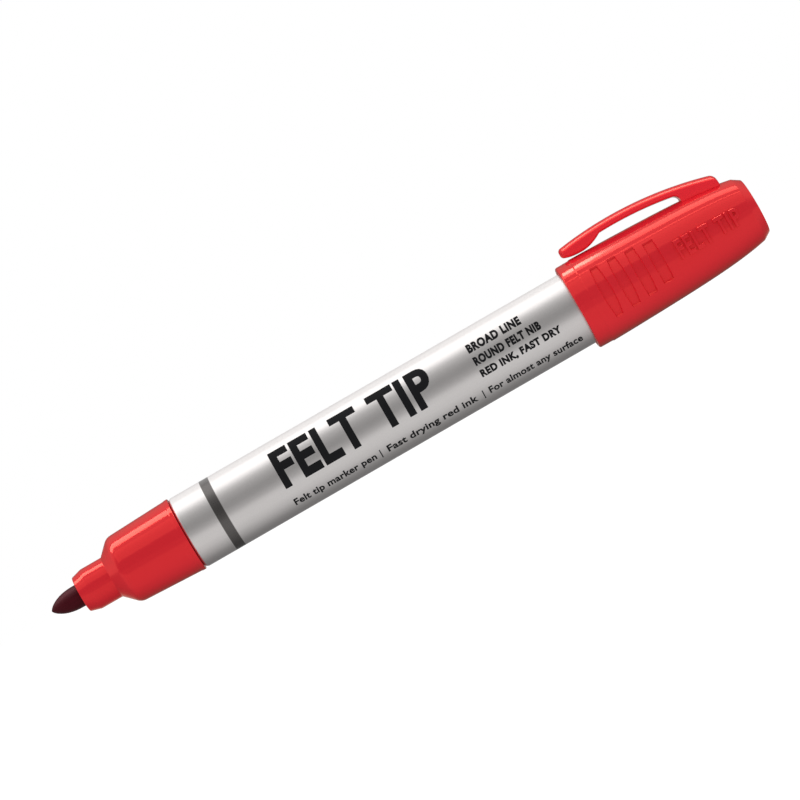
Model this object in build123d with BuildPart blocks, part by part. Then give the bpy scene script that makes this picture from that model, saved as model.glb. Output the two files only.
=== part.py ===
"""Felt tip marker with an aluminium barrel, a bullet nib and a cap posted on the rear of the barrel.

Frame: +X runs along the axis from the nib to the closed end of the cap, +Z points up through the pocket
clip, and the origin is on the axis at the middle of the bare stretch of barrel. Sizes are in millimetres.
"""

import os
from math import sqrt

from build123d import *

# Clearances
running_clearance = 0.05
fit_clearance = 0.02
assembly_gap = 0.1

# Barrel: one impact-extruded aluminium can, closed at the rear, its mouth rolled in over the nose
barrel_radius = 6.75
barrel_bare_length = 78.0
barrel_posted_length = 15.4
barrel_wall = 0.4
barrel_shoulder_radius = 1.0
barrel_mouth_step = 1.15
barrel_base_thickness = 0.8
barrel_base_radius = 1.3
barrel_dimple_radius = 3.6
barrel_dimple_depth = 0.35

# Nose: one moulding that plugs the barrel's mouth and holds the nib
nose_length = 21.1
nose_flange_step = 0.18
nose_flange_thickness = 0.5
nose_skirt_step = 0.11
nose_skirt_taper = 0.51
nose_crown_fillet = 2.2
neck_step = 2.88
neck_length = 6.1
neck_taper_length = 2.0
neck_taper_height = 0.57
spigot_length = 6.0
spigot_wall = 1.3
nose_cavity_depth = 10.5
nib_guide_wall = 0.93
nib_guide_length = 7.0
nose_rib_count = 4
nose_rib_thickness = 0.8

# Nib: one bonded fibre rod, ogive at the front and tapered where it enters the reservoir
nib_radius = 2.05
nib_reach = 5.85
nib_length = 44.0
nib_ogive_length = 5.4
nib_ogive_waist = 1.62
nib_ogive_waist_step = 0.64
nib_tip_flat_radius = 0.3
nib_tail_length = 3.5
nib_tail_radius = 0.9

# Ink store: fibre core, film wrap and the thin breather tube that lies in a groove under the wrap
reservoir_side_gap = 0.4
reservoir_rear_gap = 0.5
wrap_thickness = 0.1
breather_radius = 0.6
breather_wall = 0.2
breather_overhang = 0.4

# Cap: one moulding with its grip pads, its inner ribs and the root of the clip
cap_length = 35.6
cap_bore_clearance = 0.25
cap_lip_wall = 0.87
cap_lip_length = 2.8
cap_lip_rounding = 0.45
cap_wall = 1.02
cap_middle_setback = 14.3
cap_middle_drop = 0.56
cap_shoulder_drop = 1.9
cap_end_chamfer_length = 1.5
cap_end_chamfer_height = 1.02
cap_end_wall = 1.1
cap_back_wall = 1.1
cap_mouth_chamfer = 0.3
cap_rib_count = 6
cap_rib_width = 0.8
cap_rib_start = 3.0

# Grip pads: four shallow recesses in a row on each side of the cap, taller towards the lip
grip_first_inset = 5.56
grip_pitch = 3.41
grip_half_heights = (4.8, 4.7, 4.4, 3.95)
grip_end_widths = (1.15, 1.4, 1.6, 1.8)
grip_middle_width = 2.1
grip_depth = 0.25

# Liner: the soft inner cup that seals round the nose's neck when the cap is on the nib
liner_flange_thickness = 0.8
liner_cup_wall = 0.8
liner_end_gap = 3.9
liner_neck_clearance = 0.08
liner_bead_height = 0.06
liner_bead_width = 0.6

# Pocket clip: moulded with the cap, parted from its root at the line where it flexes
clip_tip_inset = 2.0
clip_crown_inset = 12.38
clip_crown_rise = 3.14
clip_arc_radius = 68.0
clip_arm_thickness = 1.7
clip_contact_inset = 5.9
clip_contact_gap = 0.1
clip_contact_length = 4.1
clip_tip_thickness = 1.3
clip_root_setback = 3.6
clip_root_length = 7.6
clip_root_chamfer = 0.6
clip_root_half_width = 2.5
clip_tip_half_width = 1.95
clip_edge_rounding = 0.55

# Radii that follow from the sizes above
barrel_bore_radius = barrel_radius - barrel_wall
barrel_mouth_radius = barrel_radius - barrel_mouth_step
nose_skirt_radius = barrel_radius + nose_skirt_step
nose_crown_radius = nose_skirt_radius - nose_skirt_taper
neck_radius = barrel_radius - neck_step
crimp_groove_radius = barrel_mouth_radius - running_clearance
spigot_radius = barrel_bore_radius - running_clearance
spigot_bore_radius = spigot_radius - spigot_wall
nib_bore_radius = nib_radius + fit_clearance
nib_guide_radius = nib_bore_radius + nib_guide_wall
reservoir_radius = barrel_bore_radius - reservoir_side_gap
wrap_bore_radius = reservoir_radius + fit_clearance
breather_offset = reservoir_radius - breather_radius
breather_groove_radius = breather_radius + fit_clearance
cap_bore_radius = barrel_radius + cap_bore_clearance
cap_lip_radius = cap_bore_radius + cap_lip_wall
cap_widest_radius = cap_bore_radius + cap_wall
cap_middle_radius = cap_widest_radius - cap_middle_drop
cap_shoulder_radius = cap_widest_radius - cap_shoulder_drop
liner_bore_radius = neck_radius + liner_neck_clearance
liner_cup_radius = liner_bore_radius + liner_cup_wall

# Places along the axis that follow from the sizes above
barrel_front = -barrel_bare_length / 2
cap_lip = barrel_bare_length / 2
barrel_rear = cap_lip + barrel_posted_length
dimple_floor = barrel_rear - barrel_dimple_depth
barrel_floor = dimple_floor - barrel_base_thickness
neck_face = barrel_front - nose_length
neck_rear = neck_face + neck_length
nib_tip = neck_face - nib_reach
nib_tail = nib_tip + nib_length
spigot_rear = barrel_front + spigot_length
reservoir_front = spigot_rear + assembly_gap
reservoir_rear = barrel_floor - reservoir_rear_gap
reservoir_length = reservoir_rear - reservoir_front
cap_rear = cap_lip + cap_length
cap_widest = cap_lip + cap_lip_length
cap_middle = cap_rear - cap_middle_setback
cap_shoulder = cap_rear - cap_end_chamfer_length
liner_front = barrel_rear + assembly_gap
liner_seat = liner_front + liner_flange_thickness + fit_clearance
liner_rear = cap_rear - cap_end_wall - liner_end_gap
clip_tip = cap_lip + clip_tip_inset
clip_crown = cap_lip + clip_crown_inset
clip_contact = cap_lip + clip_contact_inset
clip_root_end = cap_rear - clip_root_setback
clip_root_front = clip_root_end - clip_root_length

# Heights of the clip, whose top and underside are arcs about one centre
clip_arc_centre = cap_widest_radius + clip_crown_rise - clip_arc_radius
clip_underside_radius = clip_arc_radius - clip_arm_thickness


def clip_height(place, arc_radius):
    """Height of one of the clip's two arcs at a place along the axis."""
    return clip_arc_centre + sqrt(arc_radius**2 - (place - clip_crown) ** 2)


def cap_flank(inset):
    """The cap's outline from its lip to its shoulder, moved in towards the axis by inset."""
    Polyline(
        (cap_lip, cap_lip_radius - cap_lip_rounding - inset),
        (cap_lip + cap_lip_rounding, cap_lip_radius - inset),
        (cap_widest, cap_widest_radius - inset),
    )
    Spline(
        (cap_widest, cap_widest_radius - inset),
        (cap_middle, cap_middle_radius - inset),
        (cap_shoulder, cap_shoulder_radius - inset),
        tangents=((1.0, 0.0), (1.0, -0.2)),
    )


# ---------------------------------------------------------------- barrel
inner_shoulder_radius = barrel_shoulder_radius - barrel_wall
shoulder_centre = (barrel_front + barrel_shoulder_radius, barrel_radius - barrel_shoulder_radius)

with BuildPart() as barrel:
    with BuildSketch(Plane.XZ) as barrel_outline:
        with BuildLine():
            CenterArc(shoulder_centre, barrel_shoulder_radius, 90, 90)
            Line(
                (barrel_front + barrel_shoulder_radius, barrel_radius),
                (barrel_rear - barrel_base_radius, barrel_radius),
            )
            CenterArc(
                (barrel_rear - barrel_base_radius, barrel_radius - barrel_base_radius),
                barrel_base_radius,
                0,
                90,
            )
            Polyline(
                (barrel_rear, barrel_radius - barrel_base_radius),
                (barrel_rear, barrel_dimple_radius),
                (dimple_floor, barrel_dimple_radius - barrel_dimple_depth),
                (dimple_floor, 0),
                (barrel_floor, 0),
                (barrel_floor, barrel_bore_radius),
                (barrel_front + barrel_shoulder_radius, barrel_bore_radius),
            )
            CenterArc(shoulder_centre, inner_shoulder_radius, 90, 90)
            Polyline(
                (barrel_front + barrel_wall, barrel_radius - barrel_shoulder_radius),
                (barrel_front + barrel_wall, barrel_mouth_radius),
                (barrel_front, barrel_mouth_radius),
                (barrel_front, barrel_radius - barrel_shoulder_radius),
            )
        make_face()
    revolve(axis=Axis.X)

# ---------------------------------------------------------------- nose section
crimp_groove_end = barrel_front + barrel_wall + running_clearance
spigot_full_start = crimp_groove_end + (spigot_radius - crimp_groove_radius)
crown_start = neck_rear + (nose_crown_radius - neck_radius)
flange_front = barrel_front - nose_flange_thickness
cavity_front = barrel_front - nose_cavity_depth
guide_rear = cavity_front + nib_guide_length

with BuildPart() as nose_section:
    with BuildSketch(Plane.XZ) as nose_outline:
        with BuildLine():
            Polyline(
                (neck_face, 0),
                (neck_face, neck_radius - neck_taper_height),
                (neck_face + neck_taper_length, neck_radius),
                (neck_rear, neck_radius),
            )
            FilletPolyline(
                (neck_rear, neck_radius),
                (crown_start, nose_crown_radius),
                (flange_front, nose_skirt_radius),
                radius=nose_crown_fillet,
            )
            Polyline(
                (flange_front, nose_skirt_radius),
                (flange_front, barrel_radius + nose_flange_step),
                (barrel_front, barrel_radius + nose_flange_step),
                (barrel_front, crimp_groove_radius),
                (crimp_groove_end, crimp_groove_radius),
                (spigot_full_start, spigot_radius),
                (spigot_rear, spigot_radius),
                (spigot_rear, 0),
                (neck_face, 0),
            )
        make_face()
    revolve(axis=Axis.X)
    with BuildSketch(Plane.XZ) as nose_cavity:
        with BuildLine():
            Polyline(
                (cavity_front, nib_guide_radius),
                (cavity_front, spigot_bore_radius),
                (spigot_rear, spigot_bore_radius),
                (spigot_rear, 0),
                (guide_rear, 0),
                (guide_rear, nib_guide_radius),
                close=True,
            )
        make_face()
    revolve(axis=Axis.X, mode=Mode.SUBTRACT)
    with BuildSketch(Plane.YZ.offset(cavity_front)) as nose_ribs:
        with PolarLocations((nib_guide_radius + spigot_bore_radius) / 2, nose_rib_count, start_angle=45):
            Rectangle(spigot_bore_radius - nib_guide_radius + barrel_wall, nose_rib_thickness)
    extrude(amount=nib_guide_length)
    with BuildSketch(Plane.YZ.offset(neck_face)) as nib_bore:
        Circle(nib_bore_radius)
    extrude(amount=nose_length + spigot_length, mode=Mode.SUBTRACT)

# ---------------------------------------------------------------- nib
with BuildPart() as bullet_nib:
    with BuildSketch(Plane.XZ) as nib_outline:
        with BuildLine():
            Line((nib_tip, 0), (nib_tip, nib_tip_flat_radius))
            Spline(
                (nib_tip, nib_tip_flat_radius),
                (nib_tip + nib_ogive_waist, nib_radius - nib_ogive_waist_step),
                (nib_tip + nib_ogive_length, nib_radius),
                tangents=((0.55, 1.0), (1.0, 0.0)),
            )
            Polyline(
                (nib_tip + nib_ogive_length, nib_radius),
                (nib_tail - nib_tail_length, nib_radius),
                (nib_tail, nib_tail_radius),
                (nib_tail, 0),
                (nib_tip, 0),
            )
        make_face()
    revolve(axis=Axis.X)

# ---------------------------------------------------------------- ink reservoir, film wrap and breather
with BuildPart() as ink_reservoir:
    with BuildSketch(Plane.XZ) as reservoir_outline:
        with BuildLine():
            Polyline(
                (reservoir_front, nib_radius + fit_clearance),
                (reservoir_front, reservoir_radius),
                (reservoir_rear, reservoir_radius),
                (reservoir_rear, 0),
                (nib_tail + fit_clearance, 0),
                (nib_tail + fit_clearance, nib_tail_radius + fit_clearance),
                (nib_tail - nib_tail_length + fit_clearance, nib_radius + fit_clearance),
                close=True,
            )
        make_face()
    revolve(axis=Axis.X)
    with BuildSketch(Plane.YZ.offset(reservoir_front)) as breather_groove:
        with Locations((0, breather_offset)):
            Circle(breather_groove_radius)
        with Locations((0, reservoir_radius)):
            Rectangle(2 * breather_groove_radius, 2 * breather_radius)
    extrude(amount=reservoir_length, mode=Mode.SUBTRACT)

with BuildPart() as reservoir_wrap:
    with BuildSketch(Plane.YZ.offset(reservoir_front)) as wrap_ring:
        Circle(wrap_bore_radius + wrap_thickness)
        Circle(wrap_bore_radius, mode=Mode.SUBTRACT)
    extrude(amount=reservoir_length)

with BuildPart() as breather_tube:
    with BuildSketch(Plane.YZ.offset(reservoir_front)) as breather_ring:
        with Locations((0, breather_offset)):
            Circle(breather_radius)
            Circle(breather_radius - breather_wall, mode=Mode.SUBTRACT)
    extrude(amount=reservoir_length + breather_overhang)

# ---------------------------------------------------------------- the clip as it is moulded, arm and root in one
clip_tip_height = clip_height(clip_tip, clip_arc_radius)
clip_root_top = clip_root_end - clip_root_chamfer
clip_root_height = clip_height(clip_root_top, clip_arc_radius)
contact_rear = clip_contact + clip_contact_length
contact_height = cap_widest_radius + clip_contact_gap
underside_middle = (contact_rear + clip_root_front) / 2
tip_turn = clip_tip + clip_tip_half_width

with BuildPart() as clip_blank:
    with BuildSketch(Plane.XZ) as clip_side:
        with BuildLine():
            ThreePointArc(
                (clip_tip, clip_tip_height),
                (clip_crown, clip_height(clip_crown, clip_arc_radius)),
                (clip_root_top, clip_root_height),
            )
            Polyline(
                (clip_root_top, clip_root_height),
                (clip_root_end, clip_root_height - clip_root_chamfer),
                (clip_root_end, 0),
                (clip_root_front, 0),
                (clip_root_front, clip_height(clip_root_front, clip_underside_radius)),
            )
            ThreePointArc(
                (clip_root_front, clip_height(clip_root_front, clip_underside_radius)),
                (underside_middle, clip_height(underside_middle, clip_underside_radius)),
                (contact_rear, clip_height(contact_rear, clip_underside_radius)),
            )
            Spline(
                (contact_rear, clip_height(contact_rear, clip_underside_radius)),
                (clip_contact, contact_height),
                tangents=((-1.0, -0.15), (-1.0, 0.0)),
            )
            Spline(
                (clip_contact, contact_height),
                (clip_tip, clip_tip_height - clip_tip_thickness),
                tangents=((-1.0, 0.0), (-0.5, 1.0)),
            )
            Line((clip_tip, clip_tip_height - clip_tip_thickness), (clip_tip, clip_tip_height))
        make_face()
    extrude(amount=clip_root_half_width, both=True)
    with BuildSketch(Plane.XY) as clip_plan:
        with BuildLine():
            Polyline(
                (tip_turn, -clip_tip_half_width),
                (clip_root_end, -clip_root_half_width),
                (clip_root_end, clip_root_half_width),
                (tip_turn, clip_tip_half_width),
            )
            ThreePointArc(
                (tip_turn, clip_tip_half_width),
                (clip_tip, 0),
                (tip_turn, -clip_tip_half_width),
            )
        make_face()
    extrude(amount=clip_arc_radius, mode=Mode.INTERSECT)
    lowest_crown_edge = clip_root_height - fit_clearance
    crown_edges = clip_blank.edges().filter_by(
        lambda edge: edge.bounding_box().min.Z > lowest_crown_edge
        and edge.bounding_box().max.Z > clip_tip_height - fit_clearance
    )
    fillet(crown_edges, clip_edge_rounding)

# The knuckle: the arm ends in a half-round that turns in a matching hollow in the root
knuckle_height = clip_height(clip_root_front, clip_arc_radius) - clip_arm_thickness / 2
knuckle_radius = clip_arm_thickness / 2 + running_clearance
arm_reach = clip_root_front - clip_tip

with BuildPart() as pocket_clip:
    add(clip_blank.part)
    with BuildSketch(Plane.XZ) as arm_region:
        with Locations((clip_root_front, 0)):
            Rectangle(2 * arm_reach, clip_arc_radius, align=(Align.MAX, Align.MIN))
        with Locations((clip_root_front, knuckle_height)):
            Circle(knuckle_radius)
    extrude(amount=2 * clip_root_half_width, both=True, mode=Mode.INTERSECT)

# ---------------------------------------------------------------- cap shell
with BuildPart() as grip_floor:
    with BuildSketch(Plane.XZ) as grip_floor_outline:
        with BuildLine():
            cap_flank(grip_depth)
            Polyline(
                (cap_shoulder, cap_shoulder_radius - grip_depth),
                (cap_shoulder, 0),
                (cap_lip, 0),
                (cap_lip, cap_lip_radius - cap_lip_rounding - grip_depth),
            )
        make_face()
    revolve(axis=Axis.X)

with BuildPart() as grip_cutter:
    with BuildSketch(Plane.XZ) as grip_outlines:
        for number, (half_height, end_width) in enumerate(zip(grip_half_heights, grip_end_widths)):
            middle = cap_lip + grip_first_inset + number * grip_pitch
            with BuildLine():
                for side in (-1, 1):
                    ThreePointArc(
                        (middle + side * end_width / 2, -half_height),
                        (middle + side * grip_middle_width / 2, 0),
                        (middle + side * end_width / 2, half_height),
                    )
                    Line(
                        (middle - end_width / 2, side * half_height),
                        (middle + end_width / 2, side * half_height),
                    )
            make_face()
    extrude(amount=2 * cap_widest_radius, both=True)
    add(grip_floor.part, mode=Mode.SUBTRACT)

with BuildPart() as cap_cavity:
    with BuildSketch(Plane.XZ) as back_outline:
        with BuildLine():
            cap_flank(cap_back_wall)
            Polyline(
                (cap_shoulder, cap_shoulder_radius - cap_back_wall),
                (cap_shoulder, 0),
                (cap_lip, 0),
                (cap_lip, cap_lip_radius - cap_lip_rounding - cap_back_wall),
            )
        make_face()
    revolve(axis=Axis.X)
    with BuildSketch(Plane.YZ.offset(liner_seat)) as back_range:
        Circle(2 * cap_widest_radius)
    extrude(amount=cap_rear - cap_end_wall - liner_seat, mode=Mode.INTERSECT)
    with BuildSketch(Plane.XZ) as mouth_outline:
        with BuildLine():
            Polyline(
                (cap_lip, 0),
                (cap_lip, cap_bore_radius + cap_mouth_chamfer),
                (cap_lip + cap_mouth_chamfer, cap_bore_radius),
                (liner_seat, cap_bore_radius),
                (liner_seat, 0),
                close=True,
            )
        make_face()
    revolve(axis=Axis.X)

rib_inner = barrel_radius + running_clearance
rib_outer = cap_bore_radius + cap_mouth_chamfer
with BuildPart() as cap_shell:
    with BuildSketch(Plane.XZ) as cap_outline:
        with BuildLine():
            cap_flank(0)
            Polyline(
                (cap_shoulder, cap_shoulder_radius),
                (cap_rear, cap_shoulder_radius - cap_end_chamfer_height),
                (cap_rear, 0),
                (cap_lip, 0),
                (cap_lip, cap_lip_radius - cap_lip_rounding),
            )
        make_face()
    revolve(axis=Axis.X)
    add(grip_cutter.part, mode=Mode.SUBTRACT)
    add(clip_blank.part)
    with BuildSketch(Plane.XZ) as arm_clearance:
        with Locations((clip_root_front, cap_widest_radius + clip_contact_gap / 2)):
            Rectangle(2 * arm_reach, clip_arc_radius, align=(Align.MAX, Align.MIN))
        with Locations((clip_root_front, knuckle_height)):
            Circle(knuckle_radius + running_clearance)
    extrude(amount=2 * clip_root_half_width, both=True, mode=Mode.SUBTRACT)
    add(cap_cavity.part, mode=Mode.SUBTRACT)
    with BuildSketch(Plane.YZ.offset(cap_lip + cap_rib_start)) as cap_ribs:
        with PolarLocations((rib_inner + rib_outer) / 2, cap_rib_count):
            Rectangle(rib_outer - rib_inner, cap_rib_width)
    extrude(amount=barrel_posted_length - cap_rib_start)

# ---------------------------------------------------------------- cap liner
bead_start = liner_front + liner_bead_width
with BuildPart() as cap_liner:
    with BuildSketch(Plane.XZ) as liner_outline:
        with BuildLine():
            Polyline(
                (liner_front, liner_bore_radius),
                (liner_front, cap_bore_radius - fit_clearance),
                (liner_seat - fit_clearance, cap_bore_radius - fit_clearance),
                (liner_seat - fit_clearance, liner_cup_radius),
                (liner_rear, liner_cup_radius),
                (liner_rear, 0),
                (liner_rear - liner_cup_wall, 0),
                (liner_rear - liner_cup_wall, liner_bore_radius),
                (bead_start + liner_bead_width, liner_bore_radius),
                (bead_start + liner_bead_width / 2, liner_bore_radius - liner_bead_height),
                (bead_start, liner_bore_radius),
                close=True,
            )
        make_face()
    revolve(axis=Axis.X)

# ---------------------------------------------------------------- one labelled file for each piece
os.makedirs("parts", exist_ok=True)

barrel.part.label = "barrel"
export_step(barrel.part, "parts/barrel.step")

nose_section.part.label = "nose_section"
export_step(nose_section.part, "parts/nose_section.step")

bullet_nib.part.label = "bullet_nib"
export_step(bullet_nib.part, "parts/bullet_nib.step")

ink_reservoir.part.label = "ink_reservoir"
export_step(ink_reservoir.part, "parts/ink_reservoir.step")

reservoir_wrap.part.label = "reservoir_wrap"
export_step(reservoir_wrap.part, "parts/reservoir_wrap.step")

breather_tube.part.label = "breather_tube"
export_step(breather_tube.part, "parts/breather_tube.step")

cap_shell.part.label = "cap_shell"
export_step(cap_shell.part, "parts/cap_shell.step")

cap_liner.part.label = "cap_liner"
export_step(cap_liner.part, "parts/cap_liner.step")

pocket_clip.part.label = "pocket_clip"
export_step(pocket_clip.part, "parts/pocket_clip.step")
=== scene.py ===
"""A felt tip marker with a satin aluminium barrel, red nose and cap, and a dark bullet nib."""

from math import asin, atan2, cos, pi, radians, sin, sqrt, tan

import bmesh
import bpy
from mathutils import Matrix, Vector


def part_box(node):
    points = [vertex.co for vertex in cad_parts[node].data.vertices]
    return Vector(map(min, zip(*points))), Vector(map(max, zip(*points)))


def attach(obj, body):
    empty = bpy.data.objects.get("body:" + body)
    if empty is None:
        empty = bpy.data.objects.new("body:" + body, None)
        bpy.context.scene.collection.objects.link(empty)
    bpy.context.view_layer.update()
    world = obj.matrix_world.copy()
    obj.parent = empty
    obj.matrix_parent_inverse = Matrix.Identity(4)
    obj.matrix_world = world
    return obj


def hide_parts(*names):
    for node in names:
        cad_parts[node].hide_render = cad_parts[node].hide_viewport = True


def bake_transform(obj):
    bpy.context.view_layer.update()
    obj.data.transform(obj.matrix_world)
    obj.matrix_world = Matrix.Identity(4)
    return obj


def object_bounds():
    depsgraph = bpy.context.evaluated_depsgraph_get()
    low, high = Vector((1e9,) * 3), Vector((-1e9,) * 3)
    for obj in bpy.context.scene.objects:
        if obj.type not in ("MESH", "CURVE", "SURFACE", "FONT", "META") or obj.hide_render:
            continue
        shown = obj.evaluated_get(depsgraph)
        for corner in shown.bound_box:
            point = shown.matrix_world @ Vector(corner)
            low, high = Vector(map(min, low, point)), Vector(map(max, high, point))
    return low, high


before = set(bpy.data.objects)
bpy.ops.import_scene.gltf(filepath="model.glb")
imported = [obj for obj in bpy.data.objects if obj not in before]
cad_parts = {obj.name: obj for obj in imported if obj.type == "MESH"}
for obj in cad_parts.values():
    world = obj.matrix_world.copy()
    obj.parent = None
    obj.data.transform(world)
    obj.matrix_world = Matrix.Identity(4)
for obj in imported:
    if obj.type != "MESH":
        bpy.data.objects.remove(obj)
cad_low, cad_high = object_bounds()

MM = 0.001
INSIDE_CAD = 0.004  # the finished cap is turned this much smaller than the CAD's, all round

# ---------------------------------------------------------------------- sizes from the frame
barrel_low, barrel_high = (corner / MM for corner in map(Vector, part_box("barrel")))
nose_low, nose_high = (corner / MM for corner in map(Vector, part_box("nose_section")))
nib_low, nib_high = (corner / MM for corner in map(Vector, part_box("bullet_nib")))
cap_low, cap_high = (corner / MM for corner in map(Vector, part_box("cap_shell")))
liner_low, liner_high = (corner / MM for corner in map(Vector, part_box("cap_liner")))
clip_low, clip_high = (corner / MM for corner in map(Vector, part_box("pocket_clip")))

barrel_front, barrel_rear, barrel_radius = barrel_low.x, barrel_high.x, barrel_high.z
neck_face, spigot_rear, flange_radius = nose_low.x, nose_high.x, nose_high.z
nib_tip, nib_tail, nib_radius = nib_low.x, nib_high.x, nib_high.z
cap_lip, cap_rear, cap_radius = cap_low.x, cap_high.x, -cap_low.z - INSIDE_CAD
clip_tip, clip_crown_height = clip_low.x, clip_high.z


# ---------------------------------------------------------------------- node trees in Python
class Wire:
    """An output socket that takes part in sums: wire * 2 + other adds Math nodes to its tree."""

    def __init__(self, graph, socket):
        self.graph = graph
        self.socket = socket

    def math(self, operation, *others):
        return self.graph.add("ShaderNodeMath", {"operation": operation}, [self, *others])

    def __add__(self, other):
        return self.math("ADD", other)

    def __sub__(self, other):
        return self.math("SUBTRACT", other)

    def __mul__(self, other):
        return self.math("MULTIPLY", other)

    def __truediv__(self, other):
        return self.math("DIVIDE", other)

    def __pow__(self, other):
        return self.math("POWER", other)

    def __neg__(self):
        return self.math("MULTIPLY", -1.0)

    def __abs__(self):
        return self.math("ABSOLUTE")

    def __radd__(self, other):
        return self + other

    def __rmul__(self, other):
        return self * other

    def __rsub__(self, other):
        return self.graph.add("ShaderNodeMath", {"operation": "SUBTRACT"}, [other, self])

    def __rtruediv__(self, other):
        return self.graph.add("ShaderNodeMath", {"operation": "DIVIDE"}, [other, self])


class Graph:
    """Adds nodes to one node tree, for a material, the world or a geometry tree."""

    def __init__(self, tree):
        self.tree = tree

    def node(self, kind, settings=None, inputs=()):
        """A node of a kind, its settings made first, then its sockets filled by order or by name."""
        made = self.tree.nodes.new(kind)
        for key, value in (settings or {}).items():
            if key == "stops":
                self.fill_ramp(made.color_ramp, value)
            else:
                setattr(made, key, value)
        named = inputs.items() if isinstance(inputs, dict) else enumerate(inputs)
        for key, value in named:
            if value is None:
                continue
            if isinstance(value, Wire):
                self.tree.links.new(value.socket, made.inputs[key])
            else:
                made.inputs[key].default_value = value
        return made

    def add(self, kind, settings=None, inputs=(), output=0):
        """The same, but what comes back is one of the node's outputs, ready for sums."""
        return Wire(self, self.node(kind, settings, inputs).outputs[output])

    @staticmethod
    def fill_ramp(ramp, stops):
        while len(ramp.elements) < len(stops):
            ramp.elements.new(1.0)
        for element, (place, colour) in zip(ramp.elements, stops):
            element.position = place
            element.color = colour if isinstance(colour, tuple) else (colour, colour, colour, 1.0)

    def noise(self, place, scale, detail=2.0, roughness=0.5):
        settings = {"noise_dimensions": "3D"}
        inputs = {"Vector": place, "Scale": scale, "Detail": detail, "Roughness": roughness}
        return self.add("ShaderNodeTexNoise", settings, inputs)

    def stretched(self, place, factors):
        return self.add("ShaderNodeMapping", {}, {"Vector": place, "Scale": factors})

    def split(self, place):
        parts = self.node("ShaderNodeSeparateXYZ", {}, [place])
        return [Wire(self, output) for output in parts.outputs]

    def smooth_step(self, value, start, end):
        settings = {"interpolation_type": "SMOOTHSTEP"}
        inputs = {"Value": value, "From Min": start, "From Max": end}
        return self.add("ShaderNodeMapRange", settings, inputs)

    def mix_colour(self, factor, first, second):
        mixer = self.node("ShaderNodeMix", {"data_type": "RGBA"})
        for socket, value in ((mixer.inputs[0], factor), (mixer.inputs[6], first), (mixer.inputs[7], second)):
            if isinstance(value, Wire):
                self.tree.links.new(value.socket, socket)
            else:
                socket.default_value = value
        return Wire(self, mixer.outputs[2])


def finish_material(name, finish, **fixed):
    """A material whose finish function gives the sockets that change; the fixed ones are set as they are."""
    material = bpy.data.materials.new(name)
    material.use_nodes = True
    tree = material.node_tree
    shader = tree.nodes["Principled BSDF"]
    for key, value in fixed.items():
        shader.inputs[key.replace("_", " ")].default_value = value
    graph = Graph(tree)
    place = graph.add("ShaderNodeTexCoord", output=3)
    for key, wire in finish(graph, place).items():
        tree.links.new(wire.socket, shader.inputs[key])
    return material


def bump(graph, height, distance, strength=1.0):
    return graph.add("ShaderNodeBump", {}, {"Strength": strength, "Distance": distance, "Height": height})


# ---------------------------------------------------------------------- finishes
RED_DEEP = (0.84, 0.021, 0.038, 1.0)
RED_LIGHT = (0.88, 0.027, 0.046, 1.0)


def moulded_red(graph, place):
    """Glossy moulded plastic: faint flow marks in the colour and a very fine ripple in the gloss."""
    flow = graph.noise(graph.stretched(place, (0.35, 1.0, 1.0)), 160.0, 3.0)
    speck = graph.noise(place, 2600.0, 2.0)
    ripple = graph.noise(place, 420.0, 2.0)
    return {
        "Base Color": graph.mix_colour(flow, RED_DEEP, RED_LIGHT),
        "Roughness": 0.08 + flow * 0.03 + speck * 0.01,
        "Normal": bump(graph, ripple * 0.9 + speck * 0.1, 0.0000008),
    }


BAND_START = barrel_front + 6.27
BAND_WIDTH = 1.77
BAND_EDGE = 0.06
ALUMINIUM = (0.76, 0.729, 0.717, 1.0)
ALUMINIUM_LIGHT = (0.91, 0.876, 0.863, 1.0)
BAND_GREY = (0.150, 0.141, 0.137, 1.0)


def satin_aluminium(graph, place):
    """Drawn and satined aluminium with one printed grey band near the nose."""
    along = graph.split(place)[0]
    grain = graph.noise(place, 5200.0, 2.0)
    drawn = graph.noise(graph.stretched(place, (0.06, 1.0, 1.0)), 1500.0, 3.0)
    cloud = graph.noise(place, 90.0, 2.0)
    edge = BAND_EDGE * MM
    band_front = graph.smooth_step(along, BAND_START * MM - edge, BAND_START * MM + edge)
    band_end = (BAND_START + BAND_WIDTH) * MM
    band_rear = graph.smooth_step(along, band_end - edge, band_end + edge)
    band = band_front - band_rear
    metal = graph.mix_colour(grain * 0.7 + drawn * 0.3, ALUMINIUM, ALUMINIUM_LIGHT)
    return {
        "Base Color": graph.mix_colour(band, metal, BAND_GREY),
        "Roughness": 0.25 + grain * 0.09 + cloud * 0.04 - band * 0.03,
        "Normal": bump(graph, grain * 0.75 + drawn * 0.25, 0.000010),
    }


def inked_fibre(graph, place):
    """Bonded fibre of the nib: lengthwise strands, soaked dark, with a wet sheen."""
    strands = graph.noise(graph.stretched(place, (0.08, 1.0, 1.0)), 3600.0, 3.0, 0.6)
    blot = graph.noise(place, 500.0, 2.0)
    dark, light = (0.026, 0.0015, 0.0035, 1.0), (0.090, 0.006, 0.012, 1.0)
    return {
        "Base Color": graph.mix_colour(strands * 0.7 + blot * 0.3, dark, light),
        "Roughness": 0.45 + strands * 0.2,
        "Normal": bump(graph, strands, 0.00003, 0.6),
    }


def reservoir_fibre(graph, place):
    """The ink store's fibre bundle: long strands, unevenly soaked."""
    strands = graph.noise(graph.stretched(place, (0.04, 1.0, 1.0)), 2400.0, 3.0)
    soak = graph.noise(place, 70.0, 2.0)
    dry, wet = (0.62, 0.10, 0.11, 1.0), (0.30, 0.012, 0.020, 1.0)
    return {
        "Base Color": graph.mix_colour(strands * 0.5 + soak * 0.5, dry, wet),
        "Roughness": 0.7 + strands * 0.2,
        "Normal": bump(graph, strands, 0.00005),
    }


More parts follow.
